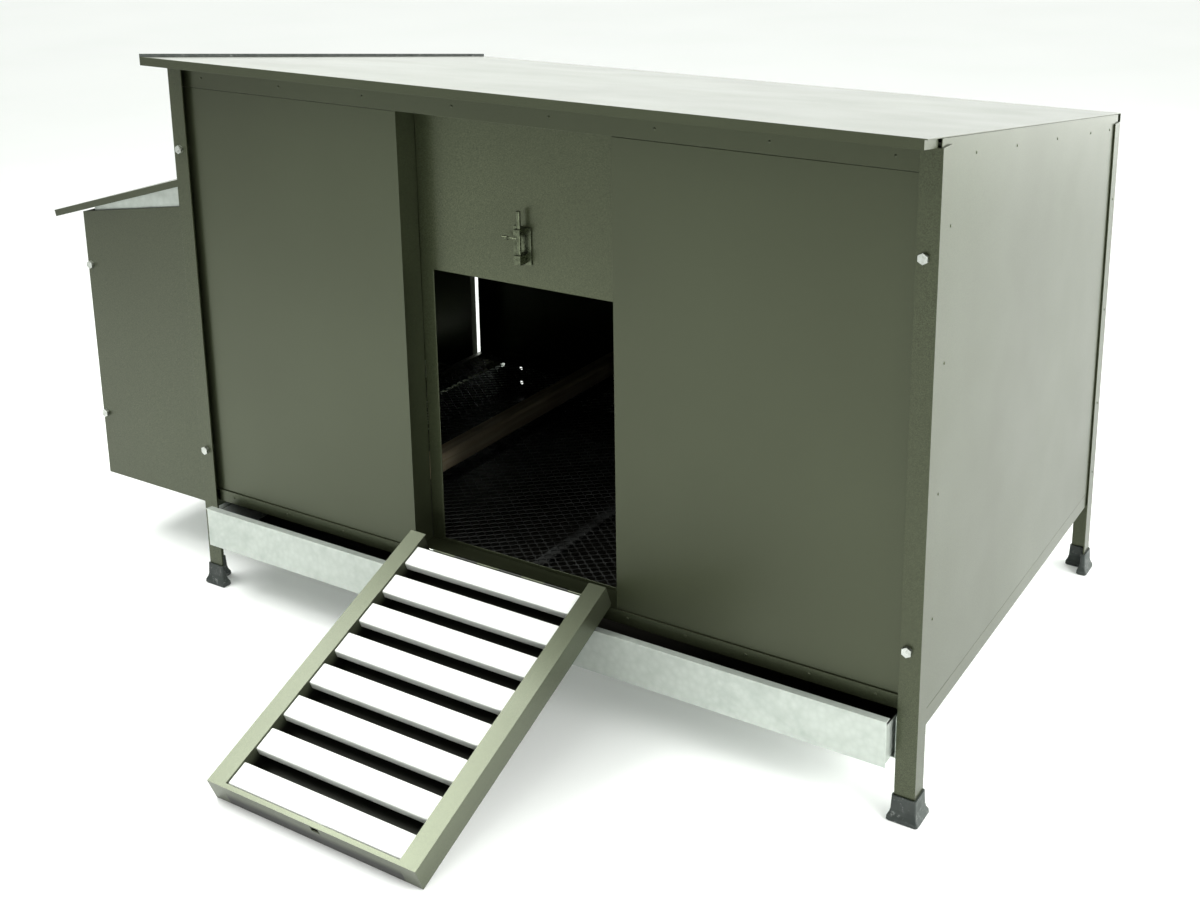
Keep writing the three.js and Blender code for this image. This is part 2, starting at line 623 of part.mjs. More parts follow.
// The outer panel, with a flange folded in at each end.
function nestOuterPanel() {
  const [y0, y1] = nestInside;
  const x0 = NEST.outer;
  const x1 = x0 + SHEET;
  const x2 = x0 + NEST.flange;
  const section = prism([
    [x0, y0], [x2, y0], [x2, y0 + SHEET], [x1, y0 + SHEET],
    [x1, y1 - SHEET], [x2, y1 - SHEET], [x2, y1], [x0, y1],
  ], NEST.outerTop - GAP - NEST.bottom);
  return cut(section.translate(0, 0, NEST.bottom), ...nestHoles);
}
part('nest_outer_panel', paint, nestOuterPanel());

NEST_BOLT.zs.forEach((z, i) => {
  const nutFace = nestInside[0] + SHEET + FIT;
  part(`nest_bolt_${i + 1}`, zinc, boltWithNut(NEST_BOLT.x, z, NEST.front - FIT, nutFace));
});

const nestFloorX = [NEST.outer + NEST.flange + SHEET + GAP, nestInnerX];
const nestFloorZ = NEST.bottom + NEST.floorLift;
part('nest_floor', galvanised, block(nestFloorX, nestInside, [nestFloorZ, nestFloorZ + SHEET]));

// The lid's underside height at a given x, clear of its sheet.
const lidTan = Math.tan(THREE.MathUtils.degToRad(LID.slopeDeg));
function lidUnderZ(x) {
  return LID.hingeZ + LID_PIN.knuckle - SHEET * 2.5 + (x - LID.hingeX) * lidTan;
}

// The wall between the two nests.
function nestDivider() {
  const y = (NEST_HOLE.spans[0][1] + NEST_HOLE.spans[1][0]) / 2;
  const x0 = NEST.outer + SHEET + GAP;
  const x1 = -NEST.liner;
  const foot = nestFloorZ + SHEET + GAP;
  const low = lidUnderZ(x0) - UNDER_LID.divider;
  const high = lidUnderZ(x1) - UNDER_LID.divider;
  return alongY([[x0, foot], [x1, foot], [x1, high], [x0, low]], [y - SHEET / 2, y + SHEET / 2]);
}
part('nest_divider', galvanised, nestDivider());

// Thin strips that close the wedge between the end panels and the lid.
function wedgeStrip(y) {
  const x0 = NEST.outer + NEST.flange + SHEET * 2;
  const x1 = -NEST.liner;
  const { overlap, strip } = UNDER_LID;
  return alongY([
    [x0, nestEndTop(x0) - overlap], [x1, nestEndTop(x1) - overlap],
    [x1, lidUnderZ(x1) - strip], [x0, lidUnderZ(x0) - strip],
  ], y);
}
const stripY = nestInside[0] + SHEET + GAP;
part('nest_wedge_front', galvanised, wedgeStrip([stripY, stripY + SHEET]));
const rearStripY = nestInside[1] - SHEET - GAP;
part('nest_wedge_rear', galvanised, wedgeStrip([rearStripY - SHEET, rearStripY]));

// ---------------------------------------------------------------- nest lid and its hinge

// Modelled level about the hinge axis, then tipped down away from the house.
const lid = new THREE.Group();
lid.position.set(LID.hingeX, 0, LID.hingeZ);
lid.rotation.y = -THREE.MathUtils.degToRad(LID.slopeDeg);
coop.add(lid);

// Knuckles belong in turn to the fixed leaf and to the lid.
function lidKnuckleSpans(parity) {
  const start = LID.front + LID_PIN.inset;
  const length = (LID.rear - LID.front - 2 * LID_PIN.inset) / LID_PIN.count;
  const spans = [];
  for (let i = parity; i < LID_PIN.count; i += 2) {
    spans.push([start + i * length + GAP, start + (i + 1) * length - GAP]);
  }
  return spans;
}

// The lid: a sheet with skirts down its front, rear and outer edges.
function nestLid() {
  const { front, rear, length, skirt } = LID;
  const high = LID_PIN.knuckle;
  const inner = -LID_PIN.knuckle - OVER;
  const y = [front, rear];
  const sheet = block([-length, inner], y, [high - SHEET, high]);
  const outer = block([-length, -length + SHEET], y, [high - skirt, high]);
  const ends = [front, rear - SHEET].map((y0) => (
    block([-length, inner], [y0, y0 + SHEET], [high - skirt, high])));
  const leaves = lidKnuckleSpans(1).map((span) => block([inner - OVER, 0], span, [high - SHEET, high]));
  const knuckles = lidKnuckleSpans(1).map((span) => rod('y', LID_PIN.knuckle, span, [0, 0]));
  const bore = rod('y', LID_PIN.bore, [front, rear], [0, 0]);
  return cut(join(sheet, outer, ...ends, ...leaves, ...knuckles), bore);
}
part('nest_lid', paint, nestLid(), lid);

// The fixed leaf on the house wall.
function lidHingeLeaf() {
  const y = [LID.front + LID_PIN.inset, LID.rear - LID_PIN.inset];
  const z = [LID.hingeZ - LID_LEAF.below, LID.hingeZ + LID_LEAF.above];
  const plate = block([GAP, SIDE_INSET - FIT], y, z);
  const knuckles = lidKnuckleSpans(0).map((span) => (
    rod('y', LID_PIN.knuckle, span, [LID.hingeX, LID.hingeZ])));
  const webs = lidKnuckleSpans(0).map((span) => (
    block([LID.hingeX, GAP + OVER], span, [LID.hingeZ - LID_PIN.knuckle, LID.hingeZ - LID_PIN.bore])));
  const bore = rod('y', LID_PIN.bore, y, [LID.hingeX, LID.hingeZ]);
  return cut(join(plate, ...knuckles, ...webs), bore);
}
part('lid_hinge_leaf', zinc, lidHingeLeaf());
const lidPinInset = LID_PIN.inset - LID_PIN.tail;
part('lid_hinge_pin', zinc, rod(
  'y', LID_PIN.radius, [LID.front + lidPinInset, LID.rear - lidPinInset], [LID.hingeX, LID.hingeZ]));

// ---------------------------------------------------------------- origin at the bottom centre

coop.updateMatrixWorld(true);
const bounds = new THREE.Box3().setFromObject(coop, true);
const middle = bounds.getCenter(new THREE.Vector3());
coop.position.set(-middle.x, -middle.y, -bounds.min.z);
coop.updateMatrixWorld(true);

const model = new THREE.Group();
model.add(coop);

export default model;
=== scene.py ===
"""Looks of the sheet-steel chicken coop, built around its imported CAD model. Metres, +Z up."""
import json
import math

import bpy
from mathutils import Matrix, Vector


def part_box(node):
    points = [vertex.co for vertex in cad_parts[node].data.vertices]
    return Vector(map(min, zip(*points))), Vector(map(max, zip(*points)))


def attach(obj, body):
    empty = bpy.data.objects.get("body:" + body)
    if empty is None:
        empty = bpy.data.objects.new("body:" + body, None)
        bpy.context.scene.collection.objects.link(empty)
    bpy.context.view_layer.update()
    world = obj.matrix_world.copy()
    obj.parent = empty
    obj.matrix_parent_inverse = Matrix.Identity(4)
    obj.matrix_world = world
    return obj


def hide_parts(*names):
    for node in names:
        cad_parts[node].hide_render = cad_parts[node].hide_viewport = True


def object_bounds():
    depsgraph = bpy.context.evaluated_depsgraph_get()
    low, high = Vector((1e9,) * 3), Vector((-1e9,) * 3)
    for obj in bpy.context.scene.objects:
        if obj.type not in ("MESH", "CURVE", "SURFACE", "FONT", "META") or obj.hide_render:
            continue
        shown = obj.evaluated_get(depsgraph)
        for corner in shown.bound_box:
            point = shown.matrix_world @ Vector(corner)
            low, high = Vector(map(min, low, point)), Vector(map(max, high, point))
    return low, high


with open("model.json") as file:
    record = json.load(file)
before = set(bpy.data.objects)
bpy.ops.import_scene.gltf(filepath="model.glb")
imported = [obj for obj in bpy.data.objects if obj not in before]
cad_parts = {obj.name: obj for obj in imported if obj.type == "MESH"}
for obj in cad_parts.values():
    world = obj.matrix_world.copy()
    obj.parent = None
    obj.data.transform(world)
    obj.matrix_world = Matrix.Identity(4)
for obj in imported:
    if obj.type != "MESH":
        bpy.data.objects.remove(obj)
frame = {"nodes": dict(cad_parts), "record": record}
cad_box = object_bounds()

NODES = frame["nodes"]
SLOT_OF = {row["node"]: row["material_slot"] for row in frame["record"]["subparts"]}
MM = 0.001
SCENE = bpy.context.scene


def corner(node, x=0, y=0, z=0):
    """A corner of a CAD node's box: 0 picks the lowest value on an axis and 1 the highest."""
    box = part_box(node)
    return Vector((box[x].x, box[y].y, box[z].z))


# The coop's own corner: outer face of the left legs, front face of the front legs, floor.
LEG_CORNER = corner("leg_front_left")
ORIGIN = Vector((LEG_CORNER.x, LEG_CORNER.y, 0.0))

RAMP_FALL = 22.4  # degrees below level when the ramp rests on the floor
ROOF_FALL = 111.5 / 850  # drop of the roof for each unit of depth


def at(x, y, z):
    """A point given in millimetres from the coop's own corner."""
    return ORIGIN + Vector((x, y, z)) * MM


# ---------------------------------------------------------------- camera

# Place in millimetres from the coop's corner, angles in radians, focal length in millimetres on the
# sensor, and lens shift as a share of the sensor's width.
CAMERA = {
    "place": (1941.0, -1689.0, 1312.0),
    "heading": 0.550,
    "tilt": 0.257,
    "roll": -0.008,
    "lens": 45.189,
    "shift": (-0.03233, -0.2),
}
SENSOR = 36.0
NEAR = 0.05


def add_camera():
    """The photograph's viewpoint."""
    heading, tilt, roll = CAMERA["heading"], CAMERA["tilt"], CAMERA["roll"]
    flat = math.cos(tilt)
    ahead = Vector((-math.sin(heading) * flat, math.cos(heading) * flat, -math.sin(tilt)))
    level = Vector((math.cos(heading), math.sin(heading), 0.0))
    up = level.cross(ahead)
    right = level * math.cos(roll) + up * math.sin(roll)
    up = up * math.cos(roll) - level * math.sin(roll)
    data = bpy.data.cameras.new("camera")
    data.sensor_width = SENSOR
    data.lens = CAMERA["lens"]
    data.shift_x, data.shift_y = CAMERA["shift"]
    data.clip_start = NEAR
    camera = bpy.data.objects.new("camera", data)
    turn = Matrix((right, up, -ahead)).transposed().to_4x4()
    camera.matrix_world = Matrix.Translation(at(*CAMERA["place"])) @ turn
    SCENE.collection.objects.link(camera)
    SCENE.camera = camera


# ---------------------------------------------------------------- shader helpers


# Sockets of a colour mix node: the two colours in, and the colour out.
MIX_FIRST, MIX_SECOND, MIX_RESULT = 6, 7, 2


class Shader:
    """A small wrapper that adds nodes to one material and links them."""

    def __init__(self, name):
        self.material = bpy.data.materials.new(name)
        self.material.use_nodes = True
        self.tree = self.material.node_tree
        self.tree.nodes.clear()
        self.output = self.add("ShaderNodeOutputMaterial")
        self.body = self.add("ShaderNodeBsdfPrincipled")
        self.link(self.body, "BSDF", self.output, "Surface")
        self.place = self.add("ShaderNodeTexCoord")

    def add(self, kind, **values):
        node = self.tree.nodes.new(kind)
        for key, value in values.items():
            setattr(node, key, value)
        return node

    def link(self, source, out, target, into):
        self.tree.links.new(source.outputs[out], target.inputs[into])

    def set(self, **values):
        """Sets the surface's own sockets, an underscore standing for a space in their names."""
        for key, value in values.items():
            self.body.inputs[key.replace("_", " ")].default_value = value

    def stretched(self, scale):
        """Object coordinates stretched by a scale on each axis."""
        node = self.add("ShaderNodeMapping")
        node.inputs["Scale"].default_value = scale
        self.link(self.place, "Object", node, "Vector")
        return node

    def noise(self, scale, detail=2.0, rough=0.5, stretch=(1, 1, 1), bend=0.0):
        node = self.add("ShaderNodeTexNoise")
        node.inputs["Scale"].default_value = scale
        node.inputs["Detail"].default_value = detail
        node.inputs["Roughness"].default_value = rough
        node.inputs["Distortion"].default_value = bend
        self.link(self.stretched(stretch), "Vector", node, "Vector")
        return node

    def axes(self):
        """Object coordinates split into X, Y and Z."""
        node = self.add("ShaderNodeSeparateXYZ")
        self.link(self.place, "Object", node, "Vector")
        return node

    def cells(self, scale):
        node = self.add("ShaderNodeTexVoronoi")
        node.inputs["Scale"].default_value = scale
        self.link(self.place, "Object", node, "Vector")
        return node

    def spread(self, source, out, low, high, to_low, to_high):
        """Maps a value from one range onto another, held at its ends."""
        node = self.add("ShaderNodeMapRange")
        ends = {"From Min": low, "From Max": high, "To Min": to_low, "To Max": to_high}
        for key, value in ends.items():
            node.inputs[key].default_value = value
        self.link(source, out, node, "Value")
        return node

    def times(self, first, second):
        """The product of two nodes' first outputs."""
        node = self.add("ShaderNodeMath", operation="MULTIPLY")
        self.tree.links.new(first.outputs[0], node.inputs[0])
        self.tree.links.new(second.outputs[0], node.inputs[1])
        return node

    def mix(self, amount, first, second, blend="MIX"):
        """Mixes two colours by a node's value; each colour is a tuple or an earlier mix."""
        node = self.add("ShaderNodeMix", data_type="RGBA", blend_type=blend)
        self.tree.links.new(amount.outputs[0], node.inputs["Factor"])
        for index, colour in ((MIX_FIRST, first), (MIX_SECOND, second)):
            if isinstance(colour, tuple):
                node.inputs[index].default_value = (*colour, 1.0)
            else:
                self.tree.links.new(colour.outputs[MIX_RESULT], node.inputs[index])
        return node

    def colour(self, mix):
        self.tree.links.new(mix.outputs[MIX_RESULT], self.body.inputs["Base Color"])

    def roughness(self, node):
        self.tree.links.new(node.outputs[0], self.body.inputs["Roughness"])

    def bump(self, height, strength, distance, below=None):
        """Raises the surface by a height node, on top of an earlier bump."""
        node = self.add("ShaderNodeBump")
        node.inputs["Strength"].default_value = strength
        node.inputs["Distance"].default_value = distance
        self.tree.links.new(height.outputs[0], node.inputs["Height"])
        if below is not None:
            self.link(below, "Normal", node, "Normal")
        self.link(node, "Normal", self.body, "Normal")
        return node


# ---------------------------------------------------------------- materials

# Dark ground, clouded ground and flake of the olive paint, on the walls and on the header. The header's
# tones are a lighter copy of the walls' tones, a painted highlight for the light falling on the pop
# hole's jambs.
WALL_OLIVES = ((0.029, 0.035, 0.016), (0.037, 0.042, 0.020), (0.077, 0.089, 0.049))
LIT_HEADER_OLIVES = ((0.035, 0.042, 0.019), (0.044, 0.050, 0.024), (0.092, 0.107, 0.059))
# The next colour lightens the ramp's walking side: partly dust, partly a painted highlight.
DUST_AND_SHEEN = (0.044, 0.048, 0.037)
# The next colour is painted shade on the ramp's pan under its treads.
RAMP_PAINTED_SHADE = (0.010, 0.011, 0.007)
# The next colour is painted shade on the upward faces inside the dropping tray.
TRAY_PAINTED_SHADE = (0.030, 0.028, 0.022)


def paint_material(name, tones=WALL_OLIVES, marks_and_light=None):
    """Olive metallic powder coat: fine flake speckle, faint clouding and soft waves in the sheet.

    The optional function after the tones takes the shader and the clean colour and returns the colour
    with its marks and painted light.
    """
    shader = Shader(name)
    shader.set(Metallic=0.75, IOR=1.5, Coat_Weight=0.3, Coat_Roughness=0.22, Coat_IOR=1.5)
    flakes = shader.noise(1500.0, detail=1.0)
    speckle = shader.spread(flakes, "Fac", 0.38, 0.66, 0.0, 1.0)
    dark, clouded, light = tones
    grain = shader.mix(speckle, dark, light)
    drift = shader.noise(2.4, detail=1.5, stretch=(1, 1, 0.6))
    cloud = shader.spread(drift, "Fac", 0.35, 0.68, 0.0, 0.55)
    clean = shader.mix(cloud, grain, clouded)
    shader.colour(clean if marks_and_light is None else marks_and_light(shader, clean))
    shader.roughness(shader.spread(shader.noise(6.0, detail=2.0), "Fac", 0.3, 0.7, 0.36, 0.40))
    waves = shader.bump(shader.noise(1.8, detail=0.5, bend=0.3), 0.5, 0.02)
    shader.bump(shader.noise(700.0, detail=1.0), 0.10, 0.0006, below=waves)
    return shader.material


def galvanised_material(name, shaded_behind=None):
    """Galvanised sheet: faint spangle, smudges and long rolling marks.

    The depth given after the name marks where painted shade begins on the upward faces behind it.
    """
    shader = Shader(name)
    shader.set(Metallic=0.55, Specular_IOR_Level=0.6)
    spangle = shader.cells(95.0)
    spots = shader.spread(spangle, "Distance", 0.0, 0.9, 0.0, 1.0)
    base = shader.mix(spots, (0.52, 0.56, 0.52), (0.45, 0.49, 0.45))
    blotches = shader.noise(11.0, detail=5.0, rough=0.62, bend=0.8)
    smudge = shader.spread(blotches, "Fac", 0.50, 0.72, 0.0, 0.5)
    clean = shader.mix(smudge, base, (0.30, 0.34, 0.31))
    if shaded_behind is None:
        shader.colour(clean)
    else:
        # Painted shade on the tray's upward faces inside.
        shader.colour(shader.mix(inside_mask(shader, shaded_behind), clean, TRAY_PAINTED_SHADE))
    rolled = shader.noise(60.0, detail=3.0, stretch=(0.12, 1.0, 1.0))
    shader.roughness(shader.spread(rolled, "Fac", 0.3, 0.7, 0.30, 0.52))
    waves = shader.bump(shader.noise(5.0, detail=2.0), 0.30, 0.004)
    shader.bump(rolled, 0.08, 0.0008, below=waves)
    return shader.material


def inside_mask(shader, y_start):
    """One on upward faces behind a given depth, which are the inside of the tray."""
    geometry = shader.add("ShaderNodeNewGeometry")
    normal = shader.add("ShaderNodeSeparateXYZ")
    shader.link(geometry, "Normal", normal, "Vector")
    upward = shader.spread(normal, "Z", 0.4, 0.6, 0.0, 1.0)
    behind = shader.spread(shader.axes(), "Y", y_start, y_start + 4 * MM, 0.0, 1.0)
    return shader.times(upward, behind)


def ramp_dust_and_painted_light(shader, clean):
    """Dust and a painted highlight on the ramp's walking side, and painted shade on the pan under its
    treads; the shut door's outside is clean.
    """
    fall = math.radians(RAMP_FALL)
    outward = Vector((0.0, -math.sin(fall), math.cos(fall)))
    skin = corner("ramp_hinge_pin", y=0, z=0).dot(outward)
    depth = shader.add("ShaderNodeVectorMath", operation="DOT_PRODUCT")
    shader.link(shader.place, "Object", depth, 0)
    depth.inputs[1].default_value = outward
    inside = shader.spread(depth, "Value", skin + 0.5 * MM, skin + 1.3 * MM, 0.0, 1.0)
    # Dust plus a painted highlight, added over the whole walking side.
    dusted_and_lit = shader.mix(inside, clean, DUST_AND_SHEEN, blend="ADD")
    # Painted shade on the pan between the stiles, fading out above the pan.
    low_down = shader.spread(depth, "Value", skin + 14 * MM, skin + 26 * MM, 1.0, 0.0)
    under = shader.times(shader.times(low_down, inside), between_stiles(shader))
    return shader.mix(under, dusted_and_lit, RAMP_PAINTED_SHADE)


def between_stiles(shader):
    """One across the width of the ramp's treads and none beyond their ends."""
    tread_low, tread_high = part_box("ramp_slat_1")
    off_centre = shader.add("ShaderNodeMath", operation="SUBTRACT")
    shader.link(shader.axes(), "X", off_centre, 0)
    off_centre.inputs[1].default_value = (tread_low.x + tread_high.x) / 2
    across = shader.add("ShaderNodeMath", operation="ABSOLUTE")
    shader.link(off_centre, "Value", across, 0)
    edge = (tread_high.x - tread_low.x) / 2
    return shader.spread(across, "Value", edge + 0.5 * MM, edge + 3.0 * MM, 1.0, 0.0)


def shaded_floor_steel_material():
    """Galvanised steel of the expanded-metal floor and its bearers, made far darker than the galvanised
    sheet as painted shade for the shade inside the coop.
    """
    shader = Shader("floor_steel_painted_shade")
    shader.set(Metallic=0.8)
    dirt = shader.spread(shader.noise(35.0, detail=4.0), "Fac", 0.35, 0.65, 0.0, 1.0)
    # Both tones are far darker than galvanised sheet: painted shade.
    shader.colour(shader.mix(dirt, (0.12, 0.125, 0.12), (0.05, 0.05, 0.046)))
    shader.roughness(shader.spread(shader.noise(90.0), "Fac", 0.3, 0.7, 0.45, 0.7))
    shader.bump(shader.noise(500.0, detail=2.0), 0.2, 0.0005)
    return shader.material


def slat_material():
    """Off-white powder coat with light scuffs."""
    shader = Shader("off_white_coat")
    shader.set(Metallic=0.0, Coat_Weight=0.25, Coat_Roughness=0.25)
    streaks = shader.noise(42.0, detail=5.0, stretch=(0.25, 1, 1))
    scuff = shader.spread(streaks, "Fac", 0.60, 0.78, 0.0, 0.35)
    shader.colour(shader.mix(scuff, (0.86, 0.88, 0.84), (0.66, 0.68, 0.63)))
    shader.roughness(shader.spread(shader.noise(60.0), "Fac", 0.3, 0.7, 0.36, 0.5))
    shader.bump(shader.noise(650.0), 0.08, 0.0005)
    return shader.material


def zinc_material(name, bright, dull):
    """Zinc plate with small stains."""
    shader = Shader(name)
    shader.set(Metallic=1.0)
    stain = shader.spread(shader.noise(160.0, detail=4.0), "Fac", 0.45, 0.7, 0.0, 0.8)
    shader.colour(shader.mix(stain, bright, dull))
    shader.roughness(shader.spread(shader.noise(300.0), "Fac", 0.3, 0.7, 0.22, 0.42))
    shader.bump(shader.noise(420.0, detail=3.0), 0.12, 0.0005)
    return shader.material


def rubber_material():
    """Moulded dark rubber with pale scuffs and dust."""
    shader = Shader("boot_rubber")
    shader.set(Metallic=0.0, Specular_IOR_Level=0.45)
    scratches = shader.noise(95.0, detail=6.0, rough=0.7, bend=1.2)
    scuff = shader.spread(scratches, "Fac", 0.57, 0.70, 0.0, 0.8)
    dust = shader.spread(shader.noise(30.0, detail=3.0), "Fac", 0.35, 0.75, 0.0, 0.4)
    base = shader.mix(dust, (0.020, 0.026, 0.023), (0.055, 0.066, 0.060))
    shader.colour(shader.mix(scuff, base, (0.20, 0.21, 0.20)))
    shader.roughness(shader.spread(shader.noise(80.0), "Fac", 0.3, 0.7, 0.45, 0.7))
    shader.bump(shader.noise(500.0, detail=4.0), 0.2, 0.0006)
    return shader.material


def timber_material():
    """Sawn softwood: growth lines along the bar, with darker knots and dirt."""
    shader = Shader("sawn_timber")
    shader.set(Metallic=0.0)
    lines = shader.noise(95.0, detail=5.0, rough=0.6, stretch=(1.0, 0.05, 1.0), bend=0.6)
    grain = shader.spread(lines, "Fac", 0.35, 0.65, 0.0, 1.0)
    base = shader.mix(grain, (0.42, 0.36, 0.24), (0.30, 0.24, 0.15))
    knots = shader.spread(shader.noise(16.0, detail=3.0), "Fac", 0.60, 0.75, 0.0, 0.7)
    shader.colour(shader.mix(knots, base, (0.17, 0.13, 0.08)))
    shader.roughness(shader.spread(lines, "Fac", 0.3, 0.7, 0.6, 0.85))
    shader.bump(lines, 0.4, 0.001)
    return shader.material

MATERIALS = {
    "paint": paint_material("olive_powder_coat"),
    "galvanised": galvanised_material("galvanised_sheet"),
    "slat_white": slat_material(),
    "zinc": zinc_material("zinc_plate", (0.48, 0.50, 0.47), (0.24, 0.25, 0.22)),
    "rubber": rubber_material(),
    "timber": timber_material(),
}

TRAY_LIP = 14 * MM
# The inside of the tray is darkened with painted shade.
TRAY_SHEET = galvanised_material("tray_sheet", shaded_behind=corner("dropping_tray").y + TRAY_LIP)
# The floor's steel is darkened as painted shade.
SHADED_FLOOR_STEEL = shaded_floor_steel_material()
LATCH_STEEL = zinc_material("dull_zinc", (0.105, 0.118, 0.078), (0.05, 0.057, 0.036))

# Nodes whose finish differs from the rest of their slot; for the tray, the ramp pan, the pop hole frame
# and the floor bearers the difference is painted light or shade.
OWN_MATERIAL = {
    "dropping_tray": TRAY_SHEET,
    # The ramp's pan carries dust, a painted highlight and painted shade.
    "ramp_pan": paint_material("olive_powder_coat_ramp_painted_light", marks_and_light=ramp_dust_and_painted_light),
    # The pop hole frame takes the lighter header tones: painted light on its jambs and header.
    "pop_hole_frame": paint_material("olive_powder_coat_frame_painted_light", tones=LIT_HEADER_OLIVES),
    "latch_housing": LATCH_STEEL,
    "latch_bolt": LATCH_STEEL,
    # The floor bearers take the darker steel: painted shade.
    "floor_bearer_1": SHADED_FLOOR_STEEL,
    "floor_bearer_2": SHADED_FLOOR_STEEL,
    "floor_bearer_3": SHADED_FLOOR_STEEL,
}

# Width in millimetres of the softly broken edges of each slot that has them.
EDGE_WIDTH = {"paint": 0.45, "galvanised": 0.45, "slat_white": 0.8, "timber": 1.0}
WELD = 0.02
FLAT_ANGLE = math.radians(1.0)
EDGE_ANGLE = math.radians(40.0)


def dress_cad_nodes():
    """Gives each CAD node its material and, where it is sheet or moulded, softly broken edges."""
    for name, node in NODES.items():
        slot = SLOT_OF[name]
        node.data.materials.clear()
        node.data.materials.append(MATERIALS[slot])
        if slot in EDGE_WIDTH:
            soften(node, EDGE_WIDTH[slot])
    for name, material in OWN_MATERIAL.items():
        NODES[name].data.materials[0] = material


def soften(piece, width):
    """Clears the flat faces' extra edges and rounds the sharp ones by a width in millimetres.

    Big faces keep their own normals, so that sheet metal looks flat right up to its edges.
    """
    weld = piece.modifiers.new("weld", "WELD")
    weld.merge_threshold = WELD * MM
    merge = piece.modifiers.new("merge_flat_faces", "DECIMATE")
    merge.decimate_type = "DISSOLVE"
    merge.angle_limit = FLAT_ANGLE
    bevel = piece.modifiers.new("broken_edges", "BEVEL")
    bevel.width = width * MM
    bevel.segments = 2
    bevel.limit_method = "ANGLE"
    bevel.angle_limit = EDGE_ANGLE
    normals = piece.modifiers.new("flat_face_normals", "WEIGHTED_NORMAL")
    normals.mode = "FACE_AREA"
    normals.weight = 100


# ---------------------------------------------------------------- new pieces


def new_piece(name, verts, faces, slot, body, smooth=False):
    """A mesh object of the given corners and faces that takes a slot's finish and rides on a body."""
    mesh = bpy.data.meshes.new(name)
    mesh.from_pydata([tuple(v) for v in verts], [], faces)
    mesh.validate()
    mesh.materials.append(MATERIALS[slot])
    if smooth:
        mesh.shade_smooth()
    piece = bpy.data.objects.new(name, mesh)
    SCENE.collection.objects.link(piece)
    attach(piece, body)
    return piece


# The floor's strands in millimetres: level length, slope length, row pitch, section and lift.
STRAND = {"long": 4.5, "slope": 6.5, "row": 9.2, "wide": 1.7, "thick": 1.4, "lift": 0.4}


def strand_line(x0, x1, y, rise):
    """One strand of expanded sheet: level lengths joined by short slopes up and down."""
    points = [(x0, y)]
    x, up = x0, False
    while x < x1:
        points.append((min(x + STRAND["long"] * MM, x1), points[-1][1]))
        x = points[-1][0] + STRAND["slope"] * MM
        up = not up
        if x < x1:
            points.append((x, y + (rise if up else 0.0)))
    return points


def ribbon(points, z, wide, thick, first):
    """Corners and faces of a strip of rectangular section that follows points on a level plane."""
    verts, faces = [], []
    for x, y in points:
        for dy, dz in ((-wide, 0), (wide, 0), (wide, thick), (-wide, thick)):
            verts.append((x, y + dy / 2, z + dz))
    for i in range(len(points) - 1):
        a = first + 4 * i
        for k in range(4):
            n = (k + 1) % 4
            faces.append((a + k, a + 4 + k, a + 4 + n, a + n))
    last = first + 4 * (len(points) - 1)
    faces.append((first, first + 1, first + 2, first + 3))
    faces.append((last + 3, last + 2, last + 1, last))
    return verts, faces


def floor_wires():
    """The expanded-metal floor: rows of strands that touch along their level lengths."""
    low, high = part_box("floor_mesh")
    row = STRAND["row"] * MM
    wide = STRAND["wide"] * MM
    thick = STRAND["thick"] * MM
    count = int((high.y - low.y - 2 * wide) / row)
    verts, faces = [], []
    for i in range(count):
        y = low.y + wide + i * row
        odd = i % 2
        rise = -row + wide if odd else row - wide
        start = y + (row - wide if odd else 0.0)
        points = strand_line(low.x, high.x, start, rise)
        more, sides = ribbon(points, low.z + STRAND["lift"] * MM, wide, thick, len(verts))
        verts += more
        faces += sides
    piece = new_piece("floor_expanded_metal", verts, faces, "galvanised", "coop")
    # The strands take the darker steel: painted shade.
    piece.data.materials[0] = SHADED_FLOOR_STEEL
    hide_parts("floor_mesh")


HEM_STRIP = {"inset": 1.5, "wide": 0.8, "tall": 4.6, "below": 0.2}


def roof_hem_strip():
    """A dark strip along the inner side of the hem on the roof's left edge, in the rubber finish."""
    low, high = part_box("roof_sheet")
    x = low.x + HEM_STRIP["inset"] * MM
    wide, tall = HEM_STRIP["wide"] * MM, HEM_STRIP["tall"] * MM
    fall = ROOF_FALL * (high.y - low.y)
    top = high.z - HEM_STRIP["below"] * MM
    verts = []
    for y, z in ((low.y, top), (high.y, top - fall)):
        verts += [(x, y, z - tall), (x + wide, y, z - tall), (x + wide, y, z), (x, y, z)]
    faces = [(0, 1, 2, 3), (7, 6, 5, 4), (0, 4, 5, 1), (1, 5, 6, 2), (2, 6, 7, 3), (3, 7, 4, 0)]
    new_piece("roof_hem_strip", verts, faces, "rubber", "coop")


# A rivet head in millimetres, its number of sides, and its rings as shares of radius and height.
RIVET = {"radius": 2.2, "height": 1.1, "sides": 10}
RINGS = ((1.0, -0.15), (0.92, 0.45), (0.55, 0.9))

# Places of the rivets: shares of a side panel's depth and of a rear leg's height, the spacing up the
# panels' front edge, the distances from an edge in millimetres, and the number in each row.
SIDE_SHARES = (0.15, 0.35, 0.58, 0.80, 0.94)
LEG_SHARES = (0.23, 0.39, 0.60, 0.84)
SIDE = {"below_top": 24, "from_front": 28, "stagger": 14, "above_foot": 40, "pitch": 90}
BAND = {"inset": 60, "ramp_gap": 30, "sill_drop": 2, "rail_rise": 17, "rear_top": 22, "rear_foot": 20}
LEG_INSET = 15
LID_CLEAR = {"above": 12, "front": 6}
COUNTS = {"sill_left": 4, "sill_right": 5, "top_rail": 8, "rear": 9}


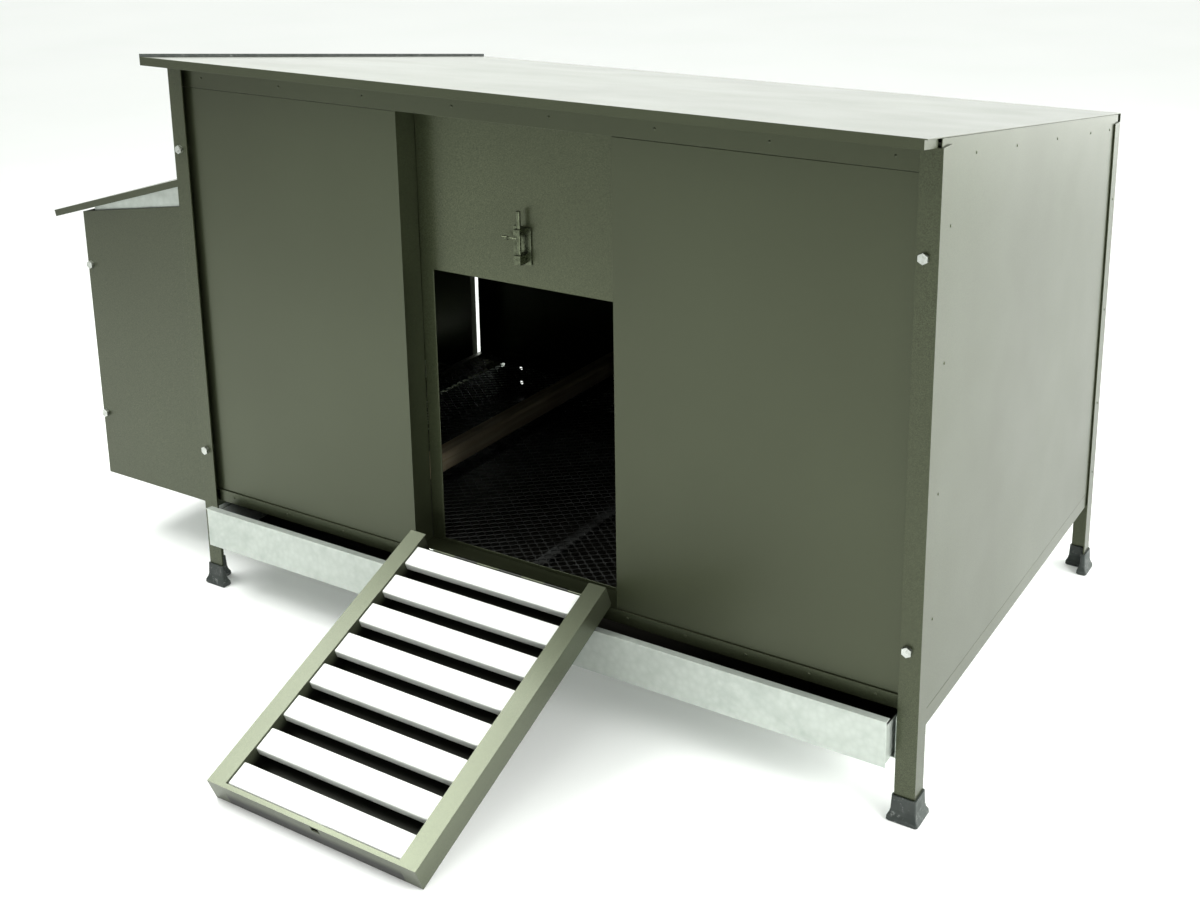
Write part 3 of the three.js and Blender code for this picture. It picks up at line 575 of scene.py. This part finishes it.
def dome(place, outward, first):
    """Corners and faces of a low domed rivet head on a face whose normal is outward."""
    side = outward.orthogonal().normalized()
    other = outward.cross(side)
    radius, height, count = RIVET["radius"] * MM, RIVET["height"] * MM, RIVET["sides"]
    verts, faces = [], []
    for spread, rise in RINGS:
        for k in range(count):
            angle = 2 * math.pi * k / count
            arm = side * math.cos(angle) + other * math.sin(angle)
            verts.append(place + arm * radius * spread + outward * height * rise)
    verts.append(place + outward * height)
    tip = first + len(verts) - 1
    for level in range(len(RINGS) - 1):
        for k in range(count):
            a = first + level * count + k
            b = first + level * count + (k + 1) % count
            faces.append((a, b, b + count, a + count))
    top = first + (len(RINGS) - 1) * count
    faces += [(top + k, top + (k + 1) % count, tip) for k in range(count)]
    faces.append(tuple(first + k for k in reversed(range(count))))
    return verts, faces


def rivets(name, places, outward):
    """One painted piece holding a rivet head at each place."""
    verts, faces = [], []
    for place in places:
        more, sides = dome(place, Vector(outward), len(verts))
        verts += more
        faces += sides
    new_piece(name, verts, faces, "paint", "coop", smooth=True)


def side_rivets():
    """Rivets along the top and up the front edge of both side panels."""
    rear_top = corner("rear_panel", z=1).z
    for side, x_end, outward in (("right", 1, (1, 0, 0)), ("left", 0, (-1, 0, 0))):
        node = f"side_panel_{side}"
        face = corner(node, x=x_end).x
        low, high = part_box(node)
        depth = high.y - low.y
        slope = (high.z - rear_top) / depth
        places = []
        for share in SIDE_SHARES:
            y = low.y + depth * share
            drop = slope * (y - low.y) + SIDE["below_top"] * MM
            places.append(Vector((face, y, high.z - drop)))
        pitch = SIDE["pitch"] * MM
        edge = low.y + SIDE["from_front"] * MM
        foot = low.z + SIDE["above_foot"] * MM
        for k in range(int((high.z - low.z) / pitch)):
            y = edge + (k % 2) * SIDE["stagger"] * MM
            places.append(Vector((face, y, foot + k * pitch)))
        keep = [p for p in places if side == "right" or clear_of_nest(p)]
        rivets(f"rivets_{side}_side", keep, outward)


def clear_of_nest(place):
    """True where the nest box and its lid don't cover the left side."""
    top = corner("lid_hinge_leaf", z=1).z + LID_CLEAR["above"] * MM
    return place.z > top or place.y < corner("nest_lid").y - LID_CLEAR["front"] * MM


def row_of(start, end, count):
    """Evenly spaced points from start to end."""
    return [start.lerp(end, k / (count - 1)) for k in range(count)]


def sill_rivets():
    """Rivets along the sill band, on both sides of the ramp."""
    low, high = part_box("sill_rail")
    z = (low.z + high.z) / 2 - BAND["sill_drop"] * MM
    inset, gap = BAND["inset"] * MM, BAND["ramp_gap"] * MM
    left = Vector((low.x + inset, low.y, z))
    ramp_left = Vector((corner("ramp_pan").x - gap, low.y, z))
    ramp_right = Vector((corner("ramp_pan", x=1).x + gap, low.y, z))
    right = Vector((high.x - inset, low.y, z))
    places = row_of(left, ramp_left, COUNTS["sill_left"])
    places += row_of(ramp_right, right, COUNTS["sill_right"])
    rivets("rivets_sill", places, (0, -1, 0))


def wall_rivets():
    """Rivets along the top rail and along the top and the foot of the rear wall."""
    inset = BAND["inset"] * MM
    low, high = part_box("front_top_rail")
    z = low.z + BAND["rail_rise"] * MM
    ends = Vector((low.x + inset, low.y, z)), Vector((high.x - inset, low.y, z))
    rivets("rivets_top_rail", row_of(*ends, COUNTS["top_rail"]), (0, -1, 0))
    low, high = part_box("rear_panel")
    heights = {"top": high.z - BAND["rear_top"] * MM, "foot": low.z + BAND["rear_foot"] * MM}
    for name, z in heights.items():
        ends = Vector((low.x + inset, high.y, z)), Vector((high.x - inset, high.y, z))
        rivets(f"rivets_rear_{name}", row_of(*ends, COUNTS["rear"]), (0, 1, 0))


def leg_rivets():
    """Rivets through the rear legs' side flanges."""
    for side, x_end, outward in (("right", 1, (1, 0, 0)), ("left", 0, (-1, 0, 0))):
        low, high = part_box(f"leg_rear_{side}")
        x = (low, high)[x_end].x
        y = high.y - LEG_INSET * MM
        places = [Vector((x, y, low.z + share * (high.z - low.z))) for share in LEG_SHARES]
        rivets(f"rivets_leg_rear_{side}", places, outward)


# ---------------------------------------------------------------- studio


FLOOR_HALF = 40.0
FLOOR_GLOW = 0.10


def studio_floor():
    """A wide pale floor at the foot of the coop, which glows a little."""
    shader = Shader("pale_floor")
    shader.set(Metallic=0.0, Specular_IOR_Level=0.2)
    tone = shader.spread(shader.noise(1.2, detail=2.0), "Fac", 0.3, 0.7, 0.0, 1.0)
    shader.colour(shader.mix(tone, (0.88, 0.89, 0.88), (0.91, 0.92, 0.91)))
    shader.set(Roughness=0.9, Emission_Color=(1.0, 1.0, 1.0, 1.0), Emission_Strength=FLOOR_GLOW)
    mesh = bpy.data.meshes.new("studio_floor")
    z = cad_box[0].z
    square = ((-1, -1), (1, -1), (1, 1), (-1, 1))
    corners = [(x * FLOOR_HALF, y * FLOOR_HALF, z) for x, y in square]
    mesh.from_pydata(corners, [], [(0, 1, 2, 3)])
    mesh.materials.append(shader.material)
    floor = bpy.data.objects.new("studio_floor", mesh)
    SCENE.collection.objects.link(floor)


# Strength of the sky in front, behind and overhead, and where the camera sees it.
WORLD = {"front": 0.08, "rear": 2.5, "top": 0.9, "seen": 1.0}
SKY_COLOUR = (0.97, 1.0, 0.965, 1.0)


def glow(tree, split, axis, start, end, low, high):
    """Light that changes smoothly with the sky direction's part along one axis."""
    ramp = tree.nodes.new("ShaderNodeMapRange")
    ramp.interpolation_type = "SMOOTHSTEP"
    ends = {"From Min": start, "From Max": end, "To Min": low, "To Max": high}
    for key, value in ends.items():
        ramp.inputs[key].default_value = value
    tree.links.new(split.outputs[axis], ramp.inputs["Value"])
    return ramp


def combined(tree, operation, first, second):
    """A maths node that joins the first outputs of two nodes."""
    node = tree.nodes.new("ShaderNodeMath")
    node.operation = operation
    tree.links.new(first.outputs[0], node.inputs[0])
    tree.links.new(second.outputs[0], node.inputs[1])
    return node


def studio_world():
    """A dim studio in front of the coop and a bright one behind and above it; plain white where seen."""
    world = bpy.data.worlds.new("studio")
    SCENE.world = world
    world.use_nodes = True
    tree = world.node_tree
    back = tree.nodes["Background"]
    place = tree.nodes.new("ShaderNodeTexCoord")
    split = tree.nodes.new("ShaderNodeSeparateXYZ")
    tree.links.new(place.outputs["Generated"], split.inputs[0])
    behind = glow(tree, split, "Y", -0.15, 0.55, WORLD["front"], WORLD["rear"])
    above = glow(tree, split, "Z", 0.35, 0.95, 0.0, WORLD["top"])
    low = glow(tree, split, "Z", 0.15, 0.75, 1.0, 0.2)
    both = combined(tree, "ADD", combined(tree, "MULTIPLY", behind, low), above)
    seen = tree.nodes.new("ShaderNodeLightPath")
    choose = tree.nodes.new("ShaderNodeMix")
    choose.inputs[3].default_value = WORLD["seen"]
    tree.links.new(seen.outputs["Is Camera Ray"], choose.inputs["Factor"])
    tree.links.new(both.outputs[0], choose.inputs[2])
    tree.links.new(choose.outputs[0], back.inputs["Strength"])
    back.inputs["Color"].default_value = SKY_COLOUR


# Each light's place, the point it faces, its size in metres and its power in watts.
SOFTBOXES = {
    "overhead": ((-0.1, -1.5, 2.0), (-0.1, -1.35, 0.0), (1.4, 1.1), 12.0),
    "upper_left": ((-1.3, -0.75, 2.3), (-0.1, -0.6, 0.0), (1.5, 1.2), 58.0),
    "right_side": ((3.6, 0.0, 1.4), (0.6, 0.0, 0.5), (3.6, 2.4), 225.0),
    "rear_right": ((2.6, 4.2, 0.9), (0.8, 0.2, 0.5), (3.0, 1.7), 50.0),
}
LIGHT_COLOUR = (0.985, 1.0, 0.98)


def studio_lights():
    """Soft rectangular lights that the camera doesn't see."""
    for name, (place, target, size, power) in SOFTBOXES.items():
        data = bpy.data.lights.new(name, "AREA")
        data.shape = "RECTANGLE"
        data.size, data.size_y = size
        data.energy = power
        data.color = LIGHT_COLOUR
        light = bpy.data.objects.new(name, data)
        light.location = place
        light.visible_camera = False
        aim = Vector(target) - Vector(place)
        light.rotation_euler = aim.to_track_quat("-Z", "Y").to_euler()
        SCENE.collection.objects.link(light)


add_camera()
dress_cad_nodes()
floor_wires()
roof_hem_strip()
side_rivets()
sill_rivets()
wall_rivets()
leg_rivets()
studio_floor()
studio_world()
studio_lights()
SCENE.view_settings.view_transform = "Standard"
